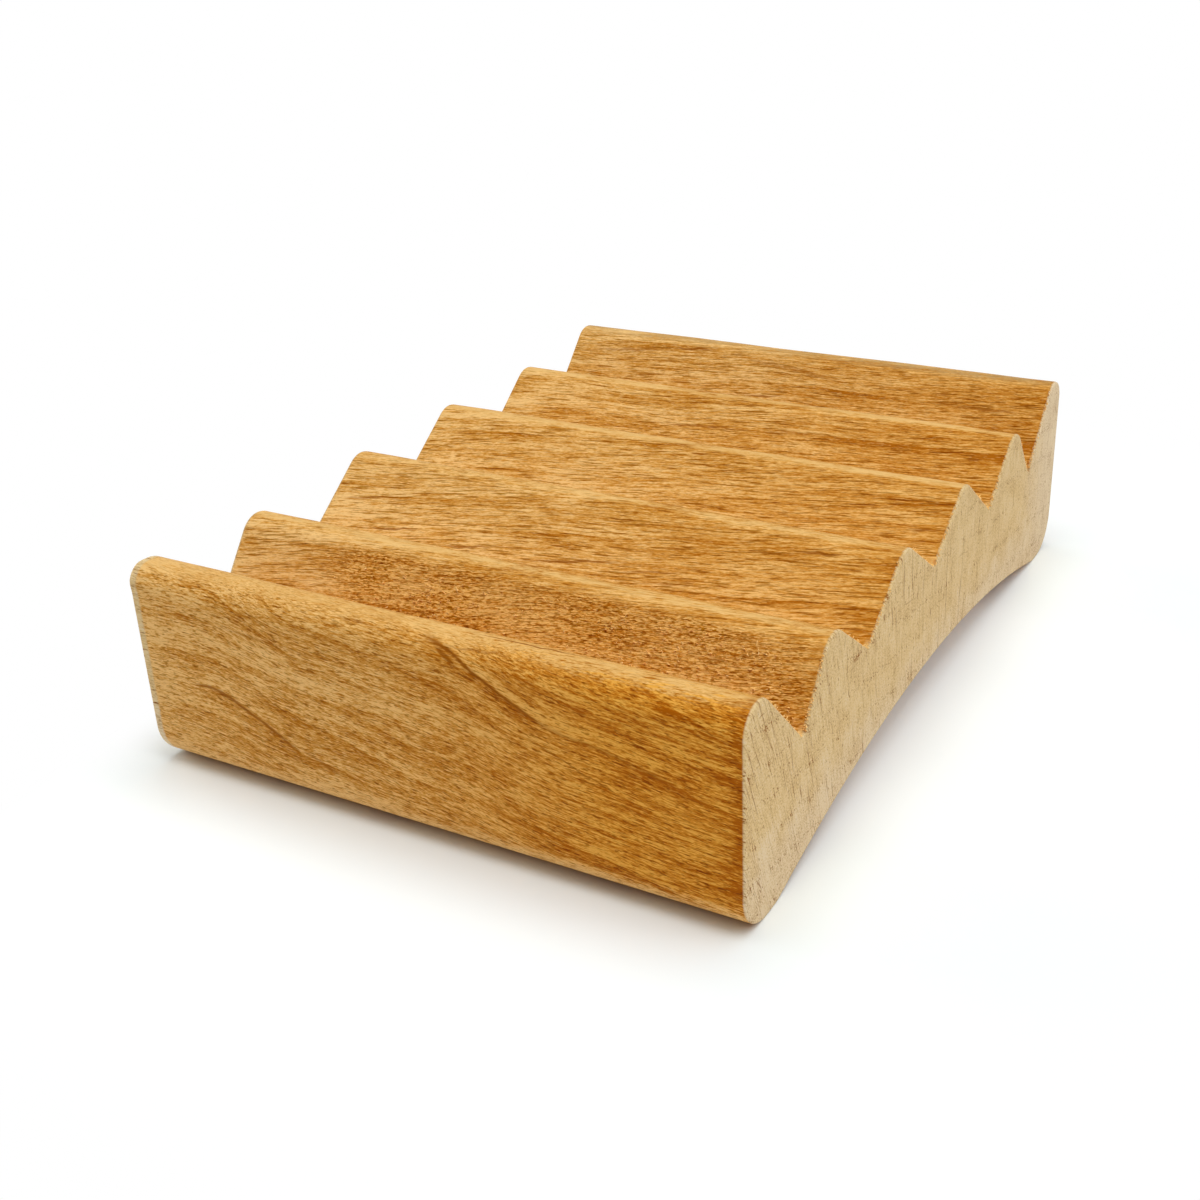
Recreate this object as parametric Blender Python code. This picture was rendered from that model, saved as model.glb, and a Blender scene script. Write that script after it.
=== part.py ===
"""Soap shelf milled from one block of hardwood.

The top is a wave of five drainage grooves between six crests, and the underside is
arched, so the block stands on a narrow flat along its front and back edges. The grain
and every groove run along X. The profile lies in the YZ plane, with the front at -Y,
and is the same all along X, because such a shelf is a length cut from a moulded board.
The sawn ends have a small eased edge all round.

The origin is on the table, under the middle of the block. Lengths are in metres.
"""

import math
from collections import namedtuple

import bmesh
import bpy
from mathutils import Vector

# Block
BLOCK_WIDTH = 0.080
BLOCK_DEPTH = 0.110
BLOCK_HEIGHT = 0.0268

# Crests: the drops are measured from the tops of the two outer crests
OUTER_CREST_RADIUS = 0.0032
INNER_CREST_RADIUS = 0.0034
SECOND_CREST_DROP = 0.0016
MIDDLE_CREST_DROP = 0.0010

# Grooves: the depths are measured from the tops of the two outer crests
OUTER_GROOVE_DEPTH = 0.0098
SECOND_GROOVE_DEPTH = 0.0084
MIDDLE_GROOVE_DEPTH = 0.0076
GROOVE_ROOT_RADIUS = 0.0006

# Feet and arch
FOOT_CORNER_RADIUS = 0.0053
FOOT_FLAT_WIDTH = 0.0021
FOOT_BLEND_RADIUS = 0.0040
ARCH_RISE = 0.0062

# Eased edge round each sawn end
END_EASING = 0.0008

# Places of the crests and grooves, counted from the middle of the block towards its
# front or back face, as shares of half the depth
MIDDLE_CREST_SHARE = 0.195
SECOND_GROOVE_SHARE = 0.402
SECOND_CREST_SHARE = 0.591
OUTER_GROOVE_SHARE = 0.740

# Fineness of the facets
ROUND_STEP = math.radians(9)
ARCH_STEPS = 36
EASING_STEPS = 3

# Oiled hardwood
WOOD_COLOUR = (0.546, 0.282, 0.082, 1.0)
WOOD_ROUGHNESS = 0.55
WOOD_METALLIC = 0.0

# A round stretch of the outline. Its side is CREST where the wood is inside the round
# and ROOT where the round is a hollow cut into the wood.
Round = namedtuple("Round", "centre radius side")
CREST = 1
ROOT = -1


def clear_scene():
    """Remove every object that the scene starts with."""
    for item in list(bpy.data.objects):
        bpy.data.objects.remove(item, do_unlink=True)


def crest(place, top, radius):
    """Rounded crest whose highest point lies at a place across the block."""
    return Round(Vector((place, top - radius)), radius, CREST)


def root(place, bottom):
    """Rounded root of a groove whose lowest point lies at a place across the block."""
    return Round(Vector((place, bottom + GROOVE_ROOT_RADIUS)), GROOVE_ROOT_RADIUS, ROOT)


def mirrored(stretch):
    """The same round on the other side of the middle of the block."""
    return Round(Vector((-stretch.centre.x, stretch.centre.y)), stretch.radius, stretch.side)


def wave_rounds():
    """Rounds of the front face, the wave and the back face, from front to back."""
    half = BLOCK_DEPTH / 2
    back_half = [
        crest(half * MIDDLE_CREST_SHARE, BLOCK_HEIGHT - MIDDLE_CREST_DROP, INNER_CREST_RADIUS),
        root(half * SECOND_GROOVE_SHARE, BLOCK_HEIGHT - SECOND_GROOVE_DEPTH),
        crest(half * SECOND_CREST_SHARE, BLOCK_HEIGHT - SECOND_CREST_DROP, INNER_CREST_RADIUS),
        root(half * OUTER_GROOVE_SHARE, BLOCK_HEIGHT - OUTER_GROOVE_DEPTH),
        crest(half - OUTER_CREST_RADIUS, BLOCK_HEIGHT, OUTER_CREST_RADIUS),
        Round(Vector((half - FOOT_CORNER_RADIUS, FOOT_CORNER_RADIUS)), FOOT_CORNER_RADIUS, CREST),
    ]
    front_half = [mirrored(stretch) for stretch in reversed(back_half)]
    middle_groove = root(0, BLOCK_HEIGHT - MIDDLE_GROOVE_DEPTH)
    return front_half + [middle_groove] + back_half


def heading_between(first, second):
    """Direction of the straight flank that touches one round and then the next."""
    gap = second.centre - first.centre
    lean = (first.side * first.radius - second.side * second.radius) / gap.length
    return math.atan2(gap.y, gap.x) - math.asin(lean)


def point_on(stretch, heading):
    """Point of a round at which the outline runs in a given direction."""
    left = Vector((-math.sin(heading), math.cos(heading)))
    return stretch.centre + stretch.side * stretch.radius * left


def round_points(stretch, start, end):
    """Points of a round, from the direction it starts in to the one it ends in."""
    turn = math.remainder(end - start, math.tau)
    steps = max(1, math.ceil(abs(turn) / ROUND_STEP))
    return [point_on(stretch, start + turn * step / steps) for step in range(steps + 1)]


def wave_points():
    """Outline over the top, from the front foot's flat to the back foot's flat."""
    rounds = wave_rounds()
    flanks = [heading_between(first, second) for first, second in zip(rounds, rounds[1:])]
    along_the_table = math.pi
    headings = [along_the_table] + flanks + [along_the_table]
    points = []
    for stretch, start, end in zip(rounds, headings, headings[1:]):
        points += round_points(stretch, start, end)
    return points


def arch_points():
    """Outline under the block, from the back foot's flat to the front foot's flat."""
    reach = BLOCK_DEPTH / 2 - FOOT_CORNER_RADIUS - FOOT_FLAT_WIDTH
    radius = (reach**2 + ARCH_RISE**2 - 2 * FOOT_BLEND_RADIUS * ARCH_RISE) / (2 * ARCH_RISE)
    arch = Round(Vector((0, ARCH_RISE - radius)), radius, ROOT)
    back_blend = Round(Vector((reach, FOOT_BLEND_RADIUS)), FOOT_BLEND_RADIUS, CREST)
    slope = math.asin(reach / (radius + FOOT_BLEND_RADIUS))
    points = round_points(back_blend, math.pi, math.pi - slope)
    for step in range(1, ARCH_STEPS):
        points.append(point_on(arch, math.pi - slope + 2 * slope * step / ARCH_STEPS))
    points += round_points(mirrored(back_blend), math.pi + slope, math.pi)
    return points


def wood_material():
    """Oiled hardwood, the one finish of the shelf."""
    wood = bpy.data.materials.new("oiled_hardwood")
    wood.use_nodes = True
    shader = wood.node_tree.nodes["Principled BSDF"]
    shader.inputs["Base Color"].default_value = WOOD_COLOUR
    shader.inputs["Roughness"].default_value = WOOD_ROUGHNESS
    shader.inputs["Metallic"].default_value = WOOD_METALLIC
    wood.diffuse_color = WOOD_COLOUR
    return wood


def milled_block():
    """Extrude the profile along the grain and ease the edges of both sawn ends."""
    shape = bmesh.new()
    outline = wave_points() + arch_points()
    corners = [shape.verts.new((-BLOCK_WIDTH / 2, y, z)) for y, z in outline]
    left_end = shape.faces.new(corners)
    pushed = bmesh.ops.extrude_face_region(shape, geom=[left_end], use_keep_orig=True)
    far_corners = [part for part in pushed["geom"] if isinstance(part, bmesh.types.BMVert)]
    right_end = next(part for part in pushed["geom"] if isinstance(part, bmesh.types.BMFace))
    bmesh.ops.translate(shape, verts=far_corners, vec=(BLOCK_WIDTH, 0, 0))
    bmesh.ops.recalc_face_normals(shape, faces=shape.faces[:])
    end_edges = list(left_end.edges) + list(right_end.edges)
    bmesh.ops.bevel(
        shape, geom=end_edges, affect="EDGES", offset_type="OFFSET", offset=END_EASING,
        segments=EASING_STEPS, profile=0.5, material=-1, clamp_overlap=False)
    mesh = bpy.data.meshes.new("shelf_block")
    shape.to_mesh(mesh)
    shape.free()
    mesh.materials.append(wood_material())
    mesh.shade_smooth()
    mesh.set_sharp_from_angle(angle=math.radians(35))
    return mesh


def main():
    clear_scene()
    block = bpy.data.objects.new("shelf_block", milled_block())
    bpy.context.scene.collection.objects.link(block)


if __name__ == "__main__":
    main()
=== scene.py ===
"""Looks of a soap shelf milled from one block of oiled hardwood.

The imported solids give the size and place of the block. This file mills it again as a fine
mesh, with hand-eased ends, a torn patch in the front groove and the fibres left by the
cutter and the saw, and gives it a wood whose rings, rays and pores run through the block.
Lengths are in metres, except in the wood's own pattern and in its finish by hand, which are
laid out in millimetres from the middle of the block's footprint.
"""

import math
import random
from collections import namedtuple

import bmesh
import bpy
from mathutils import Matrix, Vector, noise


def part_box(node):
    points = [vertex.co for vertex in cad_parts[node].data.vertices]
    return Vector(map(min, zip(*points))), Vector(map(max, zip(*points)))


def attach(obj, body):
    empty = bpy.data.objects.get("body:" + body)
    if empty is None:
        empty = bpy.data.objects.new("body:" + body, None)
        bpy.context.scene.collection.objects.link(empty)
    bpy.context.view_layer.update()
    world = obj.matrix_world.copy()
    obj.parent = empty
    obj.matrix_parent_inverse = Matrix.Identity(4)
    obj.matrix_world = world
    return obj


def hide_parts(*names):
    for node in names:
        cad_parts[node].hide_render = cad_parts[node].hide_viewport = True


bl_info = {
    "name": "Soap Shelf Workshop",
    "version": (1, 0, 0),
    "blender": (4, 5, 0),
    "location": "3D View > Sidebar > Soap Shelf",
    "description": "Mills a wooden soap shelf around its packed solid and sets it on a pale table",
    "category": "Object",
}

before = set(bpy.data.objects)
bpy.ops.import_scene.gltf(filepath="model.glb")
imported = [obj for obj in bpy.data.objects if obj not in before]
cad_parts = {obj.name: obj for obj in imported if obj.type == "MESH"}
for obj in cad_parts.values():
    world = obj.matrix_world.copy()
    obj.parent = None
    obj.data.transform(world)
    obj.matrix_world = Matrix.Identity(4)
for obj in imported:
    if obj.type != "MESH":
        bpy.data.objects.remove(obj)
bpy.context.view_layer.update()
BLOCK_LOW, BLOCK_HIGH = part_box("shelf_block")
BLOCK_WIDTH = BLOCK_HIGH.x - BLOCK_LOW.x
BLOCK_DEPTH = BLOCK_HIGH.y - BLOCK_LOW.y
BLOCK_HEIGHT = BLOCK_HIGH.z - BLOCK_LOW.z
MILLIMETRE = 0.001

# The block's right end and back face in millimetres; the left end and the front mirror them
RIGHT_END = BLOCK_HIGH.x / MILLIMETRE
BACK_FACE = BLOCK_HIGH.y / MILLIMETRE

# A round stretch of the profile: CREST where the wood is inside it, ROOT where it is a hollow
Round = namedtuple("Round", "centre radius side")
CREST = 1
ROOT = -1


def length(name, description, default):
    """A length that the user can set, in metres."""
    return bpy.props.FloatProperty(
        name=name, description=description, default=default, unit="LENGTH", precision=5)


def share(name, description, default):
    """A share between nothing and everything."""
    return bpy.props.FloatProperty(
        name=name, description=description, default=default, min=0.0, max=1.0, subtype="FACTOR")


def count(name, description, default):
    """A whole number of steps or pieces."""
    return bpy.props.IntProperty(name=name, description=description, default=default, min=1)


def angle(name, description, degrees):
    """An angle that the user can set."""
    return bpy.props.FloatProperty(
        name=name, description=description, default=math.radians(degrees), subtype="ANGLE")


def colour(name, description, default):
    """A linear colour that the user can set."""
    return bpy.props.FloatVectorProperty(
        name=name, description=description, default=default, size=3, subtype="COLOR",
        min=0.0, soft_max=1.0)


class ShelfProfile(bpy.types.PropertyGroup):
    """Sizes of the milled wave, the feet and the arch."""

    outer_crest_radius: length("Outer Crest Radius", "Rounding of the two outer crests", 0.0032)
    inner_crest_radius: length("Inner Crest Radius", "Rounding of the inner crests", 0.0034)
    second_crest_drop: length("Second Crest Drop", "Second crest below the outer one", 0.0016)
    middle_crest_drop: length("Middle Crest Drop", "Middle crests below the outer ones", 0.0010)
    outer_groove_depth: length("Outer Groove Depth", "Depth of the outer grooves", 0.0098)
    second_groove_depth: length("Second Groove Depth", "Depth of the second grooves", 0.0084)
    middle_groove_depth: length("Middle Groove Depth", "Depth of the middle groove", 0.0076)
    groove_root_radius: length("Groove Root Radius", "Rounding of the groove bottoms", 0.0006)
    foot_corner_radius: length("Foot Corner Radius", "Rounding above each foot", 0.0053)
    foot_flat_width: length("Foot Flat Width", "Flat that each foot stands on", 0.0021)
    foot_blend_radius: length("Foot Blend Radius", "Rounding from foot to arch", 0.0040)
    arch_rise: length("Arch Rise", "Height of the arch under the block", 0.0062)
    middle_crest_share: share("Middle Crest Place", "Share of half the depth", 0.195)
    second_groove_share: share("Second Groove Place", "Share of half the depth", 0.402)
    second_crest_share: share("Second Crest Place", "Share of half the depth", 0.591)
    outer_groove_share: share("Outer Groove Place", "Share of half the depth", 0.740)


class ShelfMaking(bpy.types.PropertyGroup):
    """How finely the block is milled, and what sawing, sanding and tearing did to it."""

    round_step: angle("Round Step", "Turn between two points of a rounding", 8)
    arch_steps: count("Arch Steps", "Stretches in the arch", 60)
    flank_step: length("Flank Step", "Distance between points on a flat flank", 0.0011)
    grain_steps: count("Grain Steps", "Slices along the grain", 64)
    left_easing: length("Left Easing", "Rounding of the edges of the left end", 0.00045)
    right_easing: length("Right Easing", "Rounding of the edges of the right end", 0.00030)
    easing_steps: count("Easing Steps", "Facets in each eased edge", 3)
    cap_rim: length("Cap Rim", "Ring of faces inside each sawn end", 0.00025)
    left_skew: length("Left Skew", "How far the left cut leans in at the back", 0.00038)
    left_fullness: length("Left Fullness", "Wood left on the front crest's left end", 0.00042)
    waviness: length("Waviness", "How far sanding wandered along the crests", 0.00010)
    tear_depth: length("Tear Depth", "Depth of the torn grain in the front groove", 0.00016)
    tear_cuts: count("Tear Cuts", "Cuts across each face of the torn grain", 5)
    torn_fibres: count("Torn Fibres", "Loose fibres standing in the front groove", 300)
    saw_fibres: count("Saw Fibres", "Loose fibres left along the right end", 420)
    fibre_radius: length("Fibre Radius", "Half the thickness of a loose fibre", 0.00014)


class ShelfFinish(bpy.types.PropertyGroup):
    """Colours and sheen of the oiled wood."""

    straw: colour("Straw", "Raised fibres and pale dashes", (0.885, 0.560, 0.215))
    honey: colour("Honey", "Pale early wood", (0.730, 0.390, 0.102))
    amber: colour("Amber", "Common colour of the long grain", (0.600, 0.272, 0.042))
    brown: colour("Brown", "Late wood and oil-soaked grain", (0.425, 0.140, 0.004))
    umber: colour("Umber", "Dark streaks and ring lines", (0.285, 0.080, 0.002))
    pore: colour("Pore", "Tint of the open pores", (0.500, 0.340, 0.030))
    # Crests sanded pale, with a painted sheen on their tops
    wear_and_sheen: colour("Worn", "Crests sanded pale", (0.770, 0.485, 0.175))
    weathered: colour("Weathered", "Dull wood of the hindmost crest", (0.390, 0.265, 0.120))
    soaked: colour("Soaked", "Tint of the wood that took most oil", (0.940, 0.740, 0.310))
    end_grain: colour("End Grain", "Sawn end", (0.745, 0.540, 0.258))
    end_pale: colour("Pale End Grain", "Dry edges of the sawn end", (0.790, 0.635, 0.420))
    end_dark: colour("End Dark", "Rays and pores on the sawn end", (0.270, 0.095, 0.015))
    fibre: colour("Fibre", "Loose fibres", (0.960, 0.580, 0.180))
    roughness: share("Roughness", "Satin of the oiled faces", 0.50)
    shine: share("Shine", "Strength of the oil's reflection", 0.03)


class ShelfStage(bpy.types.PropertyGroup):
    """Table, room light and camera."""

    table_size: length("Table Size", "Side of the pale table top", 6.0)
    # Over this distance a white glow that only the camera sees paints the shelf's shadow out
    clear_ring: length("Clear Ring", "Distance at which the table turns plain white", 0.055)
    sky: bpy.props.FloatProperty(name="Room Light", description="Light of the room", default=0.28)
    lens: bpy.props.FloatProperty(
        name="Lens", description="Focal length on a 36 mm sensor", default=47.5335, min=1.0)
    camera_place: bpy.props.FloatVectorProperty(
        name="Camera Place", description="Where the camera stands", size=3, unit="LENGTH",
        default=(0.09506, -0.17247, 0.10281), precision=5)
    heading: angle("Heading", "Camera's turn from straight ahead to the left", 30.928)
    tilt: angle("Tilt", "Camera's tilt below the horizon", 26.044)
    roll: angle("Roll", "Camera's lean about its own axis", -2.697)


class SoapShelf(bpy.types.PropertyGroup):
    """Everything that can be set on the shelf and its stage."""

    profile: bpy.props.PointerProperty(type=ShelfProfile)
    making: bpy.props.PointerProperty(type=ShelfMaking)
    finish: bpy.props.PointerProperty(type=ShelfFinish)
    stage: bpy.props.PointerProperty(type=ShelfStage)


def settings():
    """The scene's own settings for the shelf."""
    return bpy.context.scene.soap_shelf


def crest(place, top, radius):
    """Rounded crest whose highest point lies at a place across the block."""
    return Round(Vector((place, top - radius)), radius, CREST)


def root(place, bottom, radius):
    """Rounded bottom of a groove at a place across the block."""
    return Round(Vector((place, bottom + radius)), radius, ROOT)


def mirrored(stretch):
    """The same round on the other side of the middle of the block."""
    return Round(Vector((-stretch.centre.x, stretch.centre.y)), stretch.radius, stretch.side)


def wave_rounds(profile):
    """Rounds of the front face, the wave and the back face, from front to back."""
    half = BLOCK_DEPTH / 2
    top = BLOCK_HEIGHT
    inner = profile.inner_crest_radius
    hollow = profile.groove_root_radius
    foot = profile.foot_corner_radius
    back_half = [
        crest(half * profile.middle_crest_share, top - profile.middle_crest_drop, inner),
        root(half * profile.second_groove_share, top - profile.second_groove_depth, hollow),
        crest(half * profile.second_crest_share, top - profile.second_crest_drop, inner),
        root(half * profile.outer_groove_share, top - profile.outer_groove_depth, hollow),
        crest(half - profile.outer_crest_radius, top, profile.outer_crest_radius),
        Round(Vector((half - foot, foot)), foot, CREST),
    ]
    front_half = [mirrored(stretch) for stretch in reversed(back_half)]
    middle_groove = root(0, top - profile.middle_groove_depth, hollow)
    return front_half + [middle_groove] + back_half


def heading_between(first, second):
    """Direction of the straight flank that touches one round and then the next."""
    gap = second.centre - first.centre
    lean = (first.side * first.radius - second.side * second.radius) / gap.length
    return math.atan2(gap.y, gap.x) - math.asin(lean)


def point_on(stretch, heading):
    """Point of a round at which the outline runs in a given direction."""
    left = Vector((-math.sin(heading), math.cos(heading)))
    return stretch.centre + stretch.side * stretch.radius * left


def round_points(stretch, start, end, step):
    """Points of a round, from the direction it starts in to the one it ends in."""
    turn = math.remainder(end - start, math.tau)
    steps = max(1, math.ceil(abs(turn) / step))
    return [point_on(stretch, start + turn * place / steps) for place in range(steps + 1)]


def wave_headings(rounds):
    """Directions of the outline before, between and after the rounds of the wave."""
    flanks = [heading_between(first, second) for first, second in zip(rounds, rounds[1:])]
    return [math.pi] + flanks + [math.pi]


def arch_points(profile, making):
    """Points of the underside, from the back foot under the arch to the front foot."""
    rise = profile.arch_rise
    blend = profile.foot_blend_radius
    reach = BLOCK_DEPTH / 2 - profile.foot_corner_radius - profile.foot_flat_width
    radius = (reach**2 + rise**2 - 2 * blend * rise) / (2 * rise)
    arch = Round(Vector((0, rise - radius)), radius, ROOT)
    back_blend = Round(Vector((reach, blend)), blend, CREST)
    slope = math.asin(reach / (radius + blend))
    points = round_points(back_blend, math.pi, math.pi - slope, making.round_step)
    for step in range(1, making.arch_steps):
        points.append(point_on(arch, math.pi - slope + 2 * slope * step / making.arch_steps))
    return points + round_points(mirrored(back_blend), math.pi + slope, math.pi, making.round_step)


def outline_points(profile, making):
    """Outline of the block: over the wave from foot to foot, and back under the arch."""
    rounds = wave_rounds(profile)
    headings = wave_headings(rounds)
    points = []
    for stretch, start, end in zip(rounds, headings, headings[1:]):
        points += round_points(stretch, start, end, making.round_step)
    return points + arch_points(profile, making)


def smooth_step(value, start, end):
    """Share from 0 to 1 that rises smoothly while a value goes from start to end."""
    place = min(1.0, max(0.0, (value - start) / (end - start)))
    return place * place * (3 - 2 * place)


# Torn patch in the front groove, in millimetres
TORN_FRONT_Y = -40.2
TORN_BACK_Y = -34.0
TORN_LEFT_X = -27.0
TORN_RIGHT_X = 39.0

# A face of the block counts as torn from this share of tearing on
LEAST_TEAR = 0.02

# Middle of the front crest's rounding, in millimetres
FRONT_CREST_CENTRE = (-51.8, 23.6)

# Where the leaning left cut has its nominal place, in millimetres from the middle of the block
LEVEL_Y = -33


def tear_at(point):
    """How badly the grain is torn at a point of the block, from 0 to 1."""
    x, y, z = (part / MILLIMETRE for part in point)
    across = smooth_step(y, TORN_FRONT_Y - 0.4, TORN_FRONT_Y + 1.0)
    across *= 1 - smooth_step(y, TORN_BACK_Y - 1.6, TORN_BACK_Y)
    along = smooth_step(x, TORN_LEFT_X, TORN_LEFT_X + 14)
    along *= 1 - smooth_step(x, TORN_RIGHT_X - 5, TORN_RIGHT_X)
    patches = smooth_step(noise.noise(Vector((x / 9, y / 3, 4.7))), -0.45, 0.25)
    return across * along * (0.35 + 0.65 * patches)


def hand_finish(point, making):
    """Where a milled point ends up after sawing, sanding, wear and torn grain."""
    x, y, z = (part / MILLIMETRE for part in point)
    wander = noise.noise(Vector((x / 21, y / 7, 1.3)))
    wander += 0.5 * noise.noise(Vector((x / 8, y / 5, 7.9)))
    height = smooth_step(z, 12, 24)
    inner = 0.3 + 0.7 * (1 - smooth_step(abs(x), RIGHT_END - 6, RIGHT_END))
    offset = Vector((0, 0.4 * wander, 0.6 * wander)) * making.waviness * height * inner
    lean = (y - LEVEL_Y) / (BACK_FACE - LEVEL_Y)
    offset.x += making.left_skew * lean * smooth_step(-x, 0, RIGHT_END)
    corner = Vector((-1, 1)).normalized().dot(Vector((y, z)) - Vector(FRONT_CREST_CENTRE))
    full = smooth_step(corner, 2.2, 3.1) * smooth_step(-x, RIGHT_END - 8, RIGHT_END - 0.5)
    offset += Vector((0, -0.75, 0.65)) * making.left_fullness * full
    torn = tear_at(point)
    if torn > 0:
        fine = noise.noise(Vector((x / 0.8, y / 0.30, z / 0.30)))
        finer = noise.noise(Vector((x / 0.45, y / 0.2, z / 0.2 + 9)))
        pits = 0.7 * fine + 0.5 * finer - 0.25
        offset += Vector((0, -0.55, 0.83)) * making.tear_depth * torn * pits
    return point + offset


# A face with more corners than this is one of the two sawn ends
FEWEST_END_CORNERS = 50


def long_edges(shape, least):
    """Edges of a shape that are longer than a length."""
    return [edge for edge in shape.edges if edge.calc_length() > least]


def milled_shape(profile, making):
    """The block: its outline pushed along the grain, eased at both ends and sliced finely."""
    shape = bmesh.new()
    outline = outline_points(profile, making)
    shape.faces.new([shape.verts.new((BLOCK_LOW.x, y, z)) for y, z in outline])
    for edge in long_edges(shape, 2 * making.flank_step):
        cuts = math.ceil(edge.calc_length() / making.flank_step) - 1
        bmesh.ops.subdivide_edges(shape, edges=[edge], cuts=cuts)
    left_end = shape.faces[:][0]
    pushed = bmesh.ops.extrude_face_region(shape, geom=[left_end], use_keep_orig=True)
    far_corners = [part for part in pushed["geom"] if isinstance(part, bmesh.types.BMVert)]
    right_end = next(part for part in pushed["geom"] if isinstance(part, bmesh.types.BMFace))
    bmesh.ops.translate(shape, verts=far_corners, vec=(BLOCK_WIDTH, 0, 0))
    bmesh.ops.recalc_face_normals(shape, faces=shape.faces[:])

    # Ease the edges of both sawn ends, and leave a ring of faces inside each
    for end, easing in ((left_end, making.left_easing), (right_end, making.right_easing)):
        bmesh.ops.bevel(
            shape, geom=list(end.edges), affect="EDGES", offset_type="OFFSET", offset=easing,
            segments=making.easing_steps, profile=0.5, material=-1, clamp_overlap=False)
    caps = [face for face in shape.faces if len(face.verts) > FEWEST_END_CORNERS]
    bmesh.ops.inset_individual(
        shape, faces=caps, thickness=making.cap_rim, use_even_offset=True)

    # Slice the block along the grain, and its torn patch finer
    runs = long_edges(shape, BLOCK_WIDTH / 2)
    bmesh.ops.subdivide_edges(shape, edges=runs, cuts=making.grain_steps - 1, use_grid_fill=True)
    torn = [face for face in shape.faces if tear_at(face.calc_center_median()) > LEAST_TEAR]
    torn_edges = {edge for face in torn for edge in face.edges}
    bmesh.ops.subdivide_edges(
        shape, edges=list(torn_edges), cuts=making.tear_cuts, use_grid_fill=True)
    for vert in shape.verts:
        vert.co = hand_finish(vert.co, making)
    return shape


# Start of the random draws, and the share of its thickness that a fibre loses towards its tip
FIBRE_SEED = 11
FIBRE_TAPER = 0.60

# A flank has the number of the round before it. This one has the torn patch
TORN_FLANK = 2

# Flanks where the saw left fibres, with the ones that face forward written twice
SAW_FLANKS = (1, 2, 2, 3, 4, 4, 5, 6, 6, 7, 8, 8, 9, 10, 10)


class Fibres:
    """A mesh of loose fibres, each spun from a small triangle and set where it was torn up."""

    def __init__(self, making, seed):
        self.making = making
        self.dice = random.Random(seed)
        self.shape = bmesh.new()
        self.carrier = bpy.data.meshes.new("one_fibre")

    def add(self, place, along, outward, reach):
        """Add one fibre that leaves the wood at a place and curls away from it."""
        radius = self.making.fibre_radius * self.dice.uniform(0.7, 1.35)
        curl = self.dice.uniform(0.7, 2.3)
        bow = reach / curl
        hair = bmesh.new()
        bmesh.ops.create_circle(hair, cap_ends=True, segments=3, radius=radius)
        bmesh.ops.spin(
            hair, geom=hair.faces[:], cent=(bow, 0, 0), axis=(0, 1, 0), angle=curl, steps=5)
        for vert in hair.verts:
            turned = math.atan2(vert.co.z, bow - vert.co.x)
            spine = Vector((bow - bow * math.cos(turned), 0, bow * math.sin(turned)))
            thin = 1 - FIBRE_TAPER * min(1.0, abs(turned) / curl)
            vert.co = spine + (vert.co - spine) * thin
        side = outward.cross(along).normalized()
        basis = Matrix((outward, side, along)).transposed().to_4x4()
        bmesh.ops.transform(hair, matrix=Matrix.Translation(place) @ basis, verts=hair.verts[:])
        hair.to_mesh(self.carrier)
        hair.free()
        self.shape.from_mesh(self.carrier)


def flank_points(profile, round_index):
    """Start, end and outward normal of the flank after a round of the wave."""
    rounds = wave_rounds(profile)
    heading = wave_headings(rounds)[round_index + 1]
    start = point_on(rounds[round_index], heading)
    end = point_on(rounds[round_index + 1], heading)
    normal = Vector((0, -math.sin(heading), math.cos(heading)))
    return Vector((0, start.x, start.y)), Vector((0, end.x, end.y)), normal


def raise_torn_fibres(fibres, shelf):
    """Stand up fibres all over the torn grain of the front groove."""
    dice = fibres.dice
    low, high, normal = flank_points(shelf.profile, TORN_FLANK)
    up_slope = (high - low).normalized()
    made = 0
    while made < shelf.making.torn_fibres:
        place = low.lerp(high, dice.uniform(0.04, 0.95))
        place.x = dice.uniform(TORN_LEFT_X, TORN_RIGHT_X) * MILLIMETRE
        if dice.random() > tear_at(place):
            continue
        swing = dice.gauss(0, 0.55)
        along = Vector((dice.choice((-1, 1)) * math.cos(swing), 0, 0))
        along += up_slope * math.sin(swing)
        sunk = place - normal * shelf.making.fibre_radius
        fibres.add(sunk, along.normalized(), normal, dice.uniform(0.30, 0.90) * MILLIMETRE)
        made += 1


def raise_saw_fibres(fibres, shelf):
    """Leave short fibres along the right end's edges, thickest in the grooves."""
    dice = fibres.dice
    right_edge = BLOCK_HIGH.x - shelf.making.right_easing
    for _ in range(shelf.making.saw_fibres):
        start, end, normal = flank_points(shelf.profile, dice.choice(SAW_FLANKS))
        rising = end.z > start.z
        from_bottom = dice.uniform(0, 1) ** 2
        place = start.lerp(end, from_bottom if rising else 1 - from_bottom)
        place.x = right_edge - dice.uniform(0.0, 0.5) ** 2 * MILLIMETRE
        along = Vector((1, dice.gauss(0, 0.35), dice.gauss(0, 0.35))).normalized()
        sunk = place - normal * shelf.making.fibre_radius
        fibres.add(sunk, along, normal, dice.uniform(0.2, 0.55) * MILLIMETRE)


def add_piece(name, shape, material):
    """Turn a finished shape into a piece of the shelf that rides on its body."""
    bmesh.ops.recalc_face_normals(shape, faces=shape.faces[:])
    mesh = bpy.data.meshes.new(name)
    shape.to_mesh(mesh)
    shape.free()
    mesh.materials.append(material)
    mesh.shade_smooth()
    piece = bpy.data.objects.new(name, mesh)
    bpy.context.scene.collection.objects.link(piece)
    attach(piece, "root")
    return piece


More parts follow.
